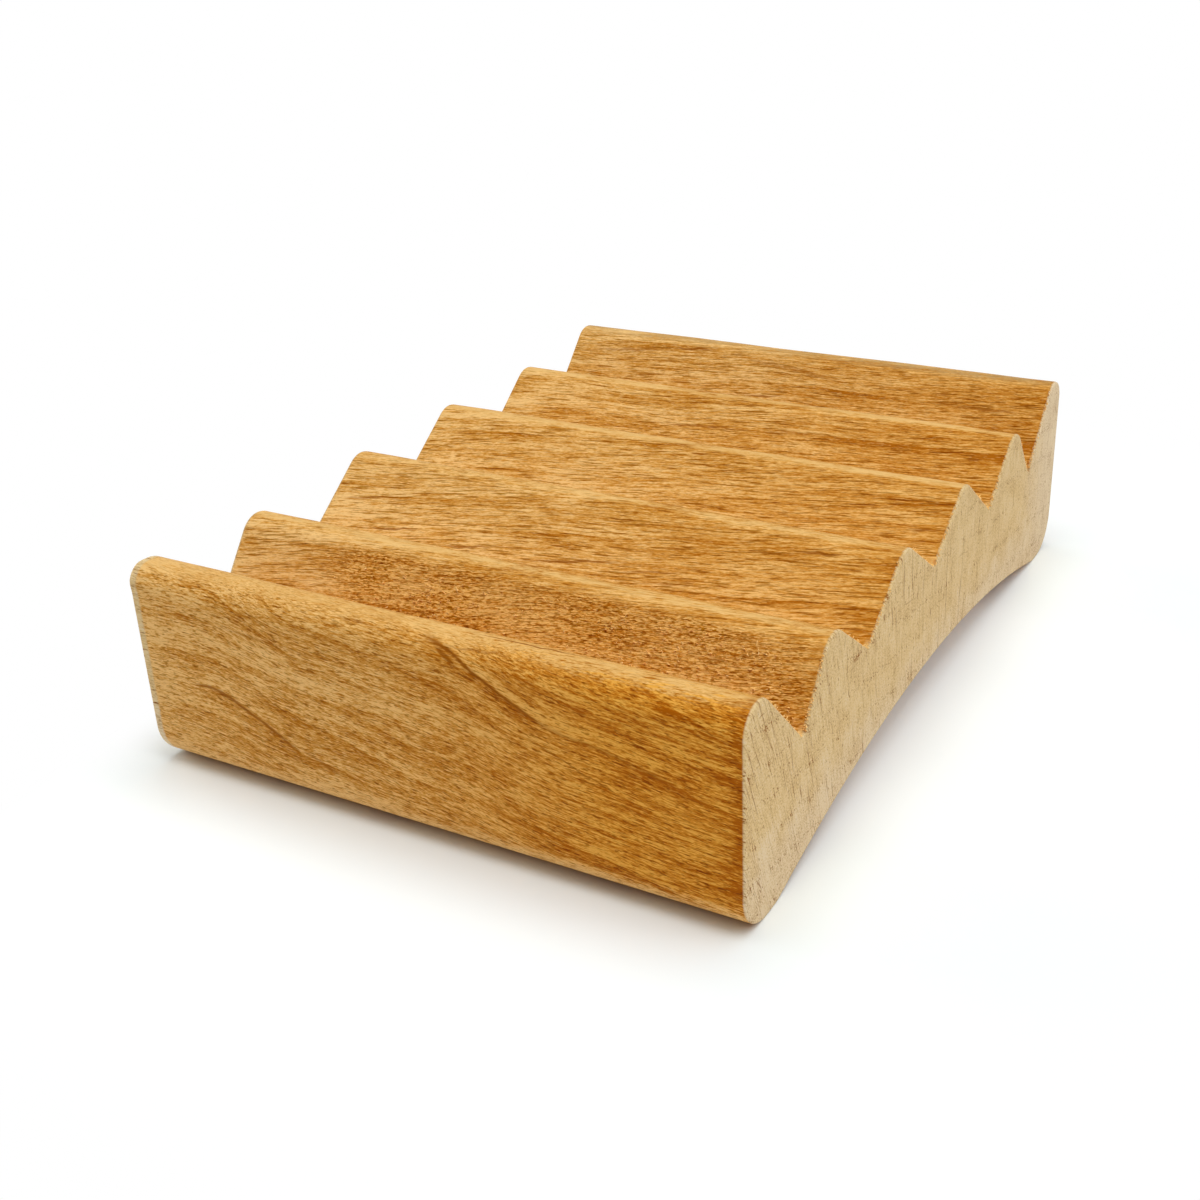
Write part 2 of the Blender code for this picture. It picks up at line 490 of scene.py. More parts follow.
class Value:
    """A number in a material that adds maths nodes when it is used in an expression."""

    def __init__(self, sheet, socket):
        self.sheet = sheet
        self.socket = socket

    def maths(self, operation, *values):
        """Put one Math node on values that may be numbers or other values."""
        node = self.sheet.add("ShaderNodeMath", {"operation": operation}, dict(enumerate(values)))
        return Value(self.sheet, node.outputs[0])

    def __add__(self, other):
        return self.maths("ADD", self, other)

    def __radd__(self, other):
        return self.maths("ADD", other, self)

    def __sub__(self, other):
        return self.maths("SUBTRACT", self, other)

    def __rsub__(self, other):
        return self.maths("SUBTRACT", other, self)

    def __mul__(self, other):
        return self.maths("MULTIPLY", self, other)

    def __rmul__(self, other):
        return self.maths("MULTIPLY", other, self)

    def __truediv__(self, other):
        return self.maths("DIVIDE", self, other)

    def __neg__(self):
        return self.maths("MULTIPLY", self, -1.0)

    def __abs__(self):
        return self.maths("ABSOLUTE", self)

    def below(self, other):
        """The smaller of two values."""
        return self.maths("MINIMUM", self, other)

    def above(self, other):
        """The larger of two values."""
        return self.maths("MAXIMUM", self, other)

    def fraction(self):
        """What is left of a value above its whole number."""
        return self.maths("FRACT", self)

    def whole(self):
        """The whole number at or below a value."""
        return self.maths("FLOOR", self)

    def rise(self, start, end):
        """Smooth share from 0 to 1 while the value goes from start to end."""
        node = self.sheet.add(
            "ShaderNodeMapRange", {"interpolation_type": "SMOOTHSTEP"},
            {"Value": self, "From Min": start, "From Max": end})
        return Value(self.sheet, node.outputs[0])


class Sheet:
    """The node tree of a material or of the room."""

    def __init__(self, owner):
        owner.use_nodes = True
        self.owner = owner
        self.tree = owner.node_tree
        self.tree.nodes.clear()

    def add(self, kind, options=None, inputs=None):
        """Add a node: its options are set first, then its sockets' values or links."""
        node = self.tree.nodes.new(kind)
        for name, option in (options or {}).items():
            setattr(node, name, option)
        for name, value in (inputs or {}).items():
            socket = node.inputs[name]
            if isinstance(value, Value):
                self.tree.links.new(value.socket, socket)
            elif isinstance(value, bpy.types.NodeSocket):
                self.tree.links.new(value, socket)
            elif socket.type == "RGBA":
                socket.default_value = (*value, 1.0)
            else:
                socket.default_value = value
        return node

    def value(self, node, output=0):
        """Wrap an output of a node."""
        return Value(self, node.outputs[output])

    def millimetres(self):
        """Object coordinates in millimetres."""
        place = self.add("ShaderNodeTexCoord").outputs["Object"]
        scaled = self.add("ShaderNodeMapping", {}, {"Vector": place, "Scale": (1000, 1000, 1000)})
        return scaled.outputs[0]

    def split(self, vector):
        """The three parts of a vector."""
        node = self.add("ShaderNodeSeparateXYZ", {}, {0: vector})
        return [Value(self, output) for output in node.outputs]

    def join(self, x, y, z):
        """A vector made of three values."""
        return self.add("ShaderNodeCombineXYZ", {}, {0: x, 1: y, 2: z}).outputs[0]

    def noise(self, x, y, z, detail=1.0, roughness=0.5):
        """Smooth noise at a place, from 0 to 1 with its middle at a half."""
        node = self.add(
            "ShaderNodeTexNoise", {},
            {"Vector": self.join(x, y, z), "Scale": 1.0, "Detail": detail, "Roughness": roughness})
        return self.value(node)

    def mix(self, amount, first, second, way="MIX"):
        """Blend of two colours."""
        node = self.add(
            "ShaderNodeMix", {"data_type": "RGBA", "blend_type": way},
            {"Factor": amount, 6: first, 7: second})
        return node.outputs[2]

    def lens(self, place, mark):
        """Strength of a dark lens-shaped mark that runs between two places in the wood."""
        start, end = Vector(mark.start), Vector(mark.end)
        way = end - start
        unit = self.add("ShaderNodeMapping", {"vector_type": "TEXTURE"}, {
            "Vector": place, "Location": (start + end) / 2,
            "Rotation": way.to_track_quat("X", "Z").to_euler(),
            "Scale": (way.length / 2, mark.depth, mark.height)})
        reach = self.add("ShaderNodeVectorMath", {"operation": "LENGTH"}, {0: unit.outputs[0]})
        return (1.0 - Value(self, reach.outputs["Value"]).rise(0.30, 1.0)) * mark.strength


# A dark mark in the wood, in millimetres: the two places it runs between, half its height
# across the marked face, half its depth and its strength
Mark = namedtuple("Mark", "start end height depth strength")
SLOPE_MARKS = (
    Mark((-39.6, -17.4, 21.6), (-27.0, -15.9, 22.9), 0.22, 0.5, 0.60),
    Mark((-33.0, -20.5, 19.4), (-23.0, -19.3, 20.4), 0.18, 0.5, 0.75),
    Mark((-21.0, -20.7, 19.2), (-11.0, -19.7, 20.1), 0.20, 0.5, 0.65),
    Mark((-9.6, -20.8, 19.2), (8.6, -18.1, 21.2), 0.20, 0.5, 0.80),
    Mark((5.4, -19.6, 20.1), (15.5, -18.2, 21.1), 0.18, 0.5, 0.60),
    Mark((8.3, -20.4, 19.5), (18.0, -19.3, 20.4), 0.20, 0.5, 0.45),
    Mark((26.5, -13.9, 24.3), (34.0, -13.1, 24.9), 0.20, 0.5, 0.90),
    Mark((33.0, -14.7, 23.7), (36.8, -14.5, 23.9), 0.14, 0.4, 0.60),
    Mark((1.0, 8.7, 25.2), (5.6, 9.0, 25.3), 0.18, 0.4, 0.80),
    Mark((34.2, 3.5, 21.5), (40.4, 4.9, 22.2), 0.24, 0.6, 0.85),
    Mark((-15.5, 26.4, 21.4), (4.5, 27.6, 22.4), 0.20, 0.5, 0.75),
    Mark((2.0, 27.3, 22.2), (15.0, 28.3, 23.0), 0.35, 0.7, 0.35),
    Mark((-39.6, 47.6, 23.9), (-20.0, 49.2, 25.5), 0.30, 0.6, 0.50),
    Mark((-23.0, 49.3, 25.6), (-13.0, 49.9, 26.1), 0.22, 0.5, 0.90),
    Mark((-11.0, 49.4, 25.7), (11.0, 47.7, 24.0), 0.45, 0.8, 0.40),
    Mark((-8.5, 44.8, 21.0), (1.5, 45.1, 21.4), 0.20, 0.5, 0.70),
    Mark((24.0, 46.7, 23.1), (40.3, 47.4, 22.9), 0.34, 0.7, 0.65),
)
FRONT_MARKS = (
    Mark((5.0, -51.6, 26.8), (24.0, -50.9, 26.7), 1.2, 0.20, 0.90),
    Mark((2.6, -54.3, 25.9), (14.5, -53.2, 26.3), 0.16, 0.8, 0.55),
    Mark((2.4, -55.0, 26.2), (7.2, -55.0, 24.3), 0.42, 1.6, 0.75),
    Mark((-10.5, -53.5, 26.3), (-3.5, -53.6, 26.0), 0.22, 0.8, 0.45),
    Mark((-17.0, -55.0, 8.3), (-10.0, -55.0, 5.7), 0.30, 1.0, 0.50),
    Mark((13.0, -55.0, 18.6), (27.0, -55.0, 13.4), 0.16, 1.0, 0.60),
    Mark((-29.0, -55.0, 22.0), (-12.0, -55.0, 20.9), 0.30, 1.0, 0.28),
)


def end_mark(start, end, height, strength, depth=3.0):
    """A mark on the right sawn end, between two places given across it and above the table."""
    return Mark((RIGHT_END, *start), (RIGHT_END, *end), height, depth, strength)


END_MARKS = (
    end_mark((-44.9, 21.1), (-42.7, 12.0), 0.10, 0.65),
    end_mark((-40.4, 16.8), (-37.1, 7.0), 0.10, 0.65),
    end_mark((-38.2, 13.5), (-36.2, 6.5), 0.08, 0.35),
    end_mark((-52.3, 25.0), (-50.9, 22.6), 0.08, 0.45),
    end_mark((-54.2, 14.0), (-52.4, 7.6), 0.09, 0.60),
    end_mark((-52.5, 6.6), (-51.0, 4.1), 0.14, 0.65),
    end_mark((-52.3, 25.0), (-50.3, 24.9), 0.12, 0.70),
    end_mark((-29.6, 23.8), (-29.8, 21.6), 0.10, 0.70, depth=1.5),
    end_mark((-27.0, 19.9), (-27.5, 17.6), 0.10, 0.55),
    end_mark((-28.1, 16.4), (-27.9, 15.0), 0.14, 0.75),
    end_mark((-33.1, 22.9), (-33.0, 21.6), 0.13, 0.60, depth=1.5),
    end_mark((-31.5, 15.6), (-31.3, 14.3), 0.13, 0.55),
    end_mark((-0.7, 13.8), (-0.6, 12.4), 0.17, 0.90),
    end_mark((-6.4, 18.5), (-6.3, 17.2), 0.15, 0.75),
    end_mark((4.1, 14.0), (4.3, 12.7), 0.16, 0.75),
    end_mark((-14.5, 20.2), (-13.9, 19.2), 0.16, 0.60),
    end_mark((4.6, 22.4), (5.4, 6.4), 0.11, 0.95),
    end_mark((5.6, 22.6), (6.0, 15.5), 0.09, 0.40),
    end_mark((0.2, 21.5), (0.5, 12.8), 0.08, 0.35),
    end_mark((-12.5, 19.0), (-6.0, 17.6), 0.12, 0.35),
    end_mark((0.8, 13.6), (5.5, 12.6), 0.11, 0.35),
    end_mark((8.5, 16.6), (14.5, 15.6), 0.11, 0.35),
    end_mark((26.8, 18.5), (27.6, 8.0), 0.12, 0.35),
    end_mark((46.1, 18.5), (47.2, 6.4), 0.12, 0.30),
)

# Dark stretches of the growth rings on the front face, in millimetres: height of the ring
# where it lies flat, start and end along the grain, and strength
RingLine = namedtuple("RingLine", "height start end strength")
RING_SPACING = 4.4
RING_LINES = (
    RingLine(3 * RING_SPACING, -30.0, -19.0, 0.85),
    RingLine(8 * RING_SPACING, 4.0, 15.0, 0.95),
    RingLine(8 * RING_SPACING, 14.0, 30.0, 0.45),
)

# Tops of the inner crests and bottoms of the grooves, from the middle of the block in millimetres
INNER_CRESTS = (10.7, 32.5)
GROOVES = (0.0, 22.1, 40.7)


def strongest(values):
    """The largest of several values at each place."""
    first, *others = values
    for value in others:
        first = first.above(value)
    return first


def between(value, start, end, soft):
    """Share that is 1 from a start to an end and fades out over a soft stretch."""
    return value.rise(start - soft, start) * (1.0 - value.rise(end, end + soft))


class Grain:
    """The wood's pattern along its fibres, as values at every place in the block."""

    def __init__(self, sheet, place):
        self.sheet = sheet
        self.x, self.y, self.z = sheet.split(place)

        # 1 on the front face, fading out over the front crest
        self.front = 1.0 - self.y.rise(0.8 - BACK_FACE, 11.0 - BACK_FACE)
        self.run_fibres()
        self.grow_rings()

        # Streaks of the fibres from fine to broad, and clouds that don't follow them
        self.dashes = self.drawn_out(0.75, 5.2, detail=2.0, roughness=0.65)
        self.specks = self.drawn_out(1.7, 8.5, shift=7.0, roughness=0.6)
        self.strings = self.drawn_out(0.17, 3.4, shift=40.0, detail=2.0, roughness=0.65)
        self.flecks = self.drawn_out(0.9, 5.5, shift=19.0).rise(0.57, 0.70)
        self.bands = self.drawn_out(0.045, 0.55, lift=self.ring * 0.15, detail=3.0, roughness=0.6)
        self.clouds = self.soft_noise(0.09, 0.16, lift=5.0, detail=2.0)

    def soft_noise(self, along, across, lift=0.0, detail=1.0):
        """Noise that is laid out along the block, with so many features in a millimetre."""
        return self.sheet.noise(
            self.x * along, self.y * across, self.z * across + lift, detail=detail)

    def drawn_out(self, along, across, shift=0.0, lift=0.0, detail=1.0, roughness=0.5):
        """Noise that is drawn out along the fibres, with so many features in a millimetre."""
        return self.sheet.noise(
            self.x * along + shift, self.fibre_y * across, self.fibre_z * across + lift,
            detail=detail, roughness=roughness)

    def run_fibres(self):
        """The fibres wander, fall to the right on the front and rise to the right behind it."""
        x, front = self.x, self.front
        self.sweep = (6.0 * x.rise(-30.0, -14.0) + 3.2 * x.rise(-15.0, 5.0)
                      + 7.0 * x.rise(3.0, 21.0) + 4.0 * x.rise(20.0, 42.0))
        self.climb = (1.0 - front) * (0.10 - 0.05 * self.y.rise(0.0, 35.0)) * x
        drift = self.soft_noise(0.025, 0.05) - 0.5
        drift_up = self.soft_noise(0.03, 0.06, lift=31.0) - 0.5
        fall = front * (x * 0.04 + self.sweep * 0.28)
        self.fibre_y = self.y + drift * 3.0 - self.climb
        self.fibre_z = self.z + drift_up * 3.0 - self.climb + fall

    def grow_rings(self):
        """Growth rings lie nearly level, dip to the back and sweep down along the front."""
        near_front = 1.0 - self.y.rise(-BACK_FACE, 25.0 - BACK_FACE)
        wander = (self.soft_noise(0.06, 0.12, detail=2.0) - 0.5) * 1.6
        dip = 0.2 * (self.y + BACK_FACE) + self.sweep * (0.08 + 0.92 * near_front)
        self.ring = self.z + dip - self.climb + wander
        turn = self.ring / RING_SPACING
        phase = turn.fraction()
        held = self.sheet.noise(self.x * 0.05, self.y * 0.05, turn.whole() * 3.7)
        late = phase.rise(0.45, 0.97) * (1.0 - phase.rise(0.965, 1.0))
        core = phase.rise(0.86, 0.95) * (1.0 - phase.rise(0.96, 1.0))
        early = 1.0 - phase.rise(0.02, 0.30)
        self.rings = held.rise(0.40, 0.66) * (late * 0.30 + core * 0.18 - early * 0.16)


def above_roots(grain):
    """Share that is 1 on the wave and 0 below it, so that nothing of it shows under the arch."""
    return grain.z.rise(14.0, 16.0)


def torn_grain(grain):
    """How torn the front groove is, less in some places than in others."""
    patch = (between(grain.y, TORN_FRONT_Y, TORN_BACK_Y - 1.2, 1.2)
             * between(grain.x, TORN_LEFT_X + 8.0, TORN_RIGHT_X - 4.0, 9.0) * above_roots(grain))
    return patch * (0.70 + grain.clouds.rise(0.40, 0.60) * 0.30)


def crest_wear_and_sheen(grain):
    """How pale the crests are from sanding and from a painted sheen, least of all the third one
    towards its left.
    """
    wander = (grain.bands - 0.5) * 2.4
    streaky = (grain.strings - 0.5) * 2.6 + (grain.dashes - 0.5) * 1.2
    tops = [(grain.z + wander * 0.7 + streaky).rise(26.1, 26.9)]
    for top in INNER_CRESTS:
        beside = abs(abs(grain.y) - top) + wander - streaky * 0.5
        tops.append(1.0 - beside.rise(0.3, 1.2))
    third = between(grain.y, -13.0, -8.0, 3.0) * (0.8 - grain.x.rise(-30.0, 0.0) * 0.4)
    return strongest(tops) * grain.z.rise(20.0, 24.0) * (1.0 - third)


def ring_lines(grain):
    """Dark ring lines on the front, and the browner wood below and the paler wood above them."""
    lines = 0.0
    shade = 0.0
    for line in RING_LINES:
        above = grain.ring - line.height
        held = between(grain.x, line.start, line.end, 3.0) * grain.front * line.strength
        near = 1.0 - abs(above / 0.32 + (grain.dashes - 0.5) * 1.6).rise(0.1, 1.2)
        browner = between(above, -1.6, -0.2, 1.0) * 0.22
        paler = between(above, 0.6, 1.2, 0.6) * 0.2
        lines = (near * held).above(lines)
        shade = shade + held * (browner - paler)
    return lines, shade


def dry_wood(grain):
    """How much paler the wood is where it took little oil."""
    x, y, front = grain.x, grain.y, grain.front
    height = grain.z + (grain.bands - 0.5) * 5.0
    upper = between(height, 17.6, 20.0, 2.0) * (1.0 - x.rise(-20.0, 25.0) * 0.85)
    on_front = (1.0 - x.rise(-RIGHT_END, 9.0 - RIGHT_END)) * 0.22 + upper * 0.20 + 0.05
    behind = (1.0 - x.rise(-34.0, 4.0)) * 0.12
    low_slopes = (between(y, -39.5, -34.5, 1.5) * 0.09 + between(y, -21.5, -18.5, 1.5) * 0.11
                  + between(y, 0.8, 5.0, 1.5) * 0.11)
    return front * on_front + (1.0 - front) * behind + low_slopes * above_roots(grain)


def long_grain(grain, finish):
    """Colour of the oiled faces, strength of their ring lines and height of their surface."""
    sheet, x, front = grain.sheet, grain.x, grain.front
    dashes, specks, strings, flecks = grain.dashes, grain.specks, grain.strings, grain.flecks
    wear_and_sheen = crest_wear_and_sheen(grain)
    torn = torn_grain(grain)
    lines, shade = ring_lines(grain)

    # The oiled faces take more oil at their right end, and the front's foot is painted paler and
    # unoiled as painted light bounced up from the table
    soaked = x.rise(RIGHT_END - 8.0, RIGHT_END) * 0.16
    brim = (x + (dashes - 0.5) * 4.0 + (grain.clouds - 0.5) * 3.0).rise(37.8, 39.6)
    foot = front * (1.0 - (grain.z + (dashes - 0.5) * 2.0).rise(2.2, 4.6))

    # Tone of the wood, from straw at 0 to brown at 1; the much stronger specks in the torn grain
    # are partly its own tone and partly painted highlights and shade of its curled fibres
    fine = ((dashes - 0.5) * (1.35 + front * 0.8)
            + (specks - 0.5) * (1.1 + front * 0.5 + torn * 2.3)
            + (strings - 0.5) * (1.8 + front * (x.rise(-5.0, 30.0) * 1.2 - 0.5)))
    broad = (grain.bands - 0.5) * 1.2 + (grain.clouds - 0.5) * 0.6 + grain.rings + shade
    darker = soaked + front * brim * 0.42
    # Painted light is part of this: the front's foot is paler for light bounced up from the table,
    # and the crests for their sheen
    paler = dry_wood(grain) + foot * 0.42 + wear_and_sheen * 0.14 + torn * x.rise(8.0, 30.0) * 0.12
    tone = 0.42 + fine + broad + darker - paler
    wood = sheet.mix(tone.rise(-0.05, 0.34), finish.straw, finish.honey)
    wood = sheet.mix(tone.rise(0.26, 0.62), wood, finish.amber)
    wood = sheet.mix(tone.rise(0.58, 1.0), wood, finish.brown)
    wood = sheet.mix(flecks * 0.42 * (1.0 - soaked), wood, finish.straw)

    # Worn wood and a painted sheen make the crests pale, dullest on the hindmost crest, and they
    # hardly take any oil
    pale = sheet.mix(grain.y.rise(38.0, 48.0), finish.wear_and_sheen, finish.weathered)
    wood = sheet.mix(wear_and_sheen * (0.54 + (dashes + strings - 1.0) * -2.2), wood, pale)
    oil = x.rise(-14.0, 34.0) * (0.36 + front * 0.64) * (1.0 - wear_and_sheen * 1.6).above(0.0)
    oil = oil + front * 0.10 + torn * (0.44 - x.rise(0.0, 30.0) * 0.40)
    # The front's foot gets no oil, part of its painted bounced light
    wood = sheet.mix((oil * (1.0 - foot)).below(1.0), wood, finish.soaked, "MULTIPLY")

    # Dark pores, mostly short on the front and long behind it, and gaps in the torn grain
    short_pores = grain.drawn_out(0.9, 5.0, shift=3.0).rise(0.57, 0.70)
    long_pores = grain.drawn_out(0.26, 4.6, shift=3.0, lift=17.0).rise(0.57, 0.68)
    pores = (short_pores * (0.45 + front * 0.55)).above(long_pores * (1.0 - front * 0.8))
    gaps = grain.drawn_out(1.15, 4.5, lift=60.0, roughness=0.6).rise(0.555, 0.595) * torn
    dark = (pores * (0.85 - wear_and_sheen * 0.55) * (1.0 - torn * 0.6)).above(gaps)
    wood = sheet.mix(dark, wood, finish.pore, "MULTIPLY")
    height = dashes * 0.7 + specks * 0.4 + strings * 0.3 - pores * 0.4 + flecks * 0.3
    return wood, lines, height * (1.0 - wear_and_sheen * 0.5)


def sawn_end(sheet, finish, place):
    """Colour and depth of a sawn end, where rays and pores stand upright in a fan."""
    x, y, z = sheet.split(place)
    fan = (y - 5.0) - 0.0065 * z * (y - 5.0).below(0.0)
    streaks = sheet.noise(fan * 3.6, z * 0.30, x * 0.4, detail=2.0, roughness=0.7)
    specks = sheet.noise(fan * 5.5, z * 3.6, x, detail=2.0, roughness=0.75)
    pores = sheet.noise(fan * 4.0 + 3.0, z * 1.5, x * 0.5).rise(0.67, 0.73)
    clouds = sheet.noise(0.0, y * 0.25, z * 0.25, detail=2.0)

    # Rays are hair-thin upright lines, closest together towards the front
    crossing = sheet.noise(fan * 1.9, z * 0.05, 9.0)
    shown = sheet.noise(fan * 1.1, z * 0.10, 17.0)
    rays = (1.0 - abs(crossing - 0.5).rise(0.003, 0.020)) * (shown - y * 0.0008).rise(0.54, 0.60)

    # Rows of pores follow the growth rings
    row = ((z + 0.16 * y + (clouds - 0.5) * 2.4) / RING_SPACING).fraction()
    rows = between(row, 0.45, 0.52, 0.07) * (specks + 0.7 * streaks + 0.5 * clouds).rise(1.12, 1.34)
    depth = ((streaks - 0.5) * 1.2 + (specks - 0.5) * 2.4 + (clouds - 0.5) * 0.8).above(0.0)
    depth = (depth + pores * 0.70 + rays * 0.62 + rows * 0.58).below(1.0)

    # The end is dry and pale in specks, along its foot and at its back
    light = ((0.5 - specks) * 3.0 + (0.5 - streaks) * 2.0 + (0.5 - clouds) * 0.8).above(0.0)
    back = (y + (clouds - 0.5) * 12.0).rise(36.0, 51.0)
    foot = (1.0 - (z + (clouds - 0.5) * 8.0).rise(5.0, 12.0)) * 0.7
    dry = (light + back.above(foot) * 0.8).below(1.0)
    wood = sheet.mix(dry, finish.end_grain, finish.end_pale)
    return sheet.mix(depth, wood, finish.end_dark), depth


def wavered(sheet, place):
    """The place, moved a little so that the marks waver as everything in the wood does."""
    waver = sheet.add(
        "ShaderNodeTexNoise", {}, {"Vector": place, "Scale": 0.45, "Detail": 1.0}).outputs["Color"]
    shift = sheet.add(
        "ShaderNodeVectorMath", {"operation": "MULTIPLY_ADD"},
        {0: waver, 1: (0.0, 0.7, 0.7), 2: (0.0, -0.35, -0.35)}).outputs[0]
    return sheet.add("ShaderNodeVectorMath", {}, {0: place, 1: shift}).outputs[0]


# Depth of the fine relief that pores and fibres leave on the surface, in metres
RELIEF = 0.00014


def oiled_hardwood(finish):
    """Oiled wood whose rings, rays, pores and fibres run through the block along X."""
    sheet = Sheet(bpy.data.materials.new("oiled_hardwood"))
    place = sheet.millimetres()
    grain = Grain(sheet, place)
    x, front, dashes = grain.x, grain.front, grain.dashes
    along, lines, height = long_grain(grain, finish)
    across, depth = sawn_end(sheet, finish, place)
    mark_place = wavered(sheet, place)
    marks = strongest([sheet.lens(mark_place, mark) for mark in SLOPE_MARKS + FRONT_MARKS])
    end_marks = strongest([sheet.lens(mark_place, mark) for mark in END_MARKS])
    broken = 0.55 + 0.9 * dashes
    along = sheet.mix(lines.above(marks * broken).below(1.0), along, finish.umber)
    across = sheet.mix(end_marks, across, finish.end_dark)

    # Oil hardly darkens the sawn ends and the eased left edge; the fuzz at the groove ends is
    # painted pale, partly the fibres' own colour and partly a painted highlight of the light they
    # catch
    valley = strongest([1.0 - abs(abs(grain.y) - groove).rise(0.35, 1.1) for groove in GROOVES])
    ragged = (grain.specks - 0.5) * 0.5
    right = (x + ragged * (1.0 - front * 0.8)).rise(RIGHT_END - 0.40, RIGHT_END - 0.16)
    left = (-x + front * 0.75 + ragged).rise(RIGHT_END - 0.55, RIGHT_END - 0.20)
    fuzz_and_highlight = (x + ragged * 2.0).rise(RIGHT_END - 1.0, RIGHT_END - 0.5) * valley * above_roots(grain)
    sawn = right.above(left)
    base = sheet.mix(fuzz_and_highlight * 0.8, along, finish.wear_and_sheen)
    base = sheet.mix(sawn, base, across)

    relief = height * (1.0 - sawn) - sawn * (0.1 * depth + end_marks * 0.2)
    bump = sheet.add(
        "ShaderNodeBump", {}, {"Height": relief, "Strength": 0.8, "Distance": RELIEF})
    roughness = finish.roughness + 0.10 * (dashes - 0.5) + 0.2 * sawn
    shader = sheet.add("ShaderNodeBsdfPrincipled", {}, {
        "Base Color": base, "Roughness": roughness, "Specular IOR Level": finish.shine,
        "Normal": bump.outputs[0]})
    sheet.add("ShaderNodeOutputMaterial", {}, {"Surface": shader.outputs[0]})
    return sheet.owner


def loose_fibre(finish):
    """Pale wood of the fibres that stand up from the surface."""
    sheet = Sheet(bpy.data.materials.new("loose_fibre"))
    x, y, z = sheet.split(sheet.millimetres())
    tone = sheet.noise(x * 1.7, y * 1.7, z * 1.7).rise(0.35, 0.65)
    base = sheet.mix(tone, finish.straw, finish.fibre)
    shader = sheet.add("ShaderNodeBsdfPrincipled", {}, {
        "Base Color": base, "Roughness": 0.6, "Specular IOR Level": 0.0})
    sheet.add("ShaderNodeOutputMaterial", {}, {"Surface": shader.outputs[0]})
    return sheet.owner


class SOAPSHELF_OT_mill_block(bpy.types.Operator):
    """Mill the block of oiled hardwood with its wave, feet, arch and eased ends"""

    bl_idname = "soap_shelf.mill_block"
    bl_label = "Mill the Block"

    def execute(self, context):
        shelf = settings()
        shape = milled_shape(shelf.profile, shelf.making)
        piece = add_piece("milled_block", shape, oiled_hardwood(shelf.finish))
        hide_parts("shelf_block")
        return {"FINISHED"}


class SOAPSHELF_OT_raise_fibres(bpy.types.Operator):
    """Stand up the torn fibres of the front groove and the fibres left by the saw"""

    bl_idname = "soap_shelf.raise_fibres"
    bl_label = "Raise the Loose Fibres"

    def execute(self, context):
        shelf = settings()
        fibres = Fibres(shelf.making, FIBRE_SEED)
        raise_torn_fibres(fibres, shelf)
        raise_saw_fibres(fibres, shelf)
        add_piece("loose_fibres", fibres.shape, loose_fibre(shelf.finish))
        return {"FINISHED"}


class SOAPSHELF_OT_set_stage(bpy.types.Operator):
    """Set the pale table, the lamps, the room light and the camera"""

    bl_idname = "soap_shelf.set_stage"
    bl_label = "Set the Stage"

    def execute(self, context):
        stage = settings().stage
        lay_table(stage)
        hang_lamps()
        fill_room(stage)
        set_camera(stage)
        context.scene.view_settings.view_transform = "Standard"
        return {"FINISHED"}


# Plain white of the room, and the table's colours: as it lights the shelf, and as the camera sees
# it:
# cooled beside the shelf to take out the warm light the wood bounces on it, with a painted shadow
# by the feet and painted light by the arch
WHITE = (1.0, 1.0, 1.0)
TABLE_LIT = (0.95, 0.95, 0.95)
TABLE_PAINTED_FOOT_SHADOW = (0.560, 0.440, 0.370)
TABLE_BESIDE = (0.925, 0.980, 0.985)
TABLE_PAINTED_ARCH_LIGHT = (0.955, 1.000, 1.000)

# The strip under each foot where a darker table colour is painted as the foot's shadow, inwards
# from the front and back faces, in metres
FOOT_SHADOW = (-0.0060, -0.0042)
FOOT_SHADOW_EDGE = 0.0028

# Where the table by the arch gets painted light beyond the light that comes through it, on both
# sides of the middle, and how much sooner the table turns white there, in metres
ARCH_REACH = 0.026
ARCH_EDGE = 0.012
ARCH_PAINTED_LIGHT = 0.010

# The table turns white with painted light this many times sooner to the left of the shelf than to
# its right
LEFT_PAINTED_LIGHT = 5.0


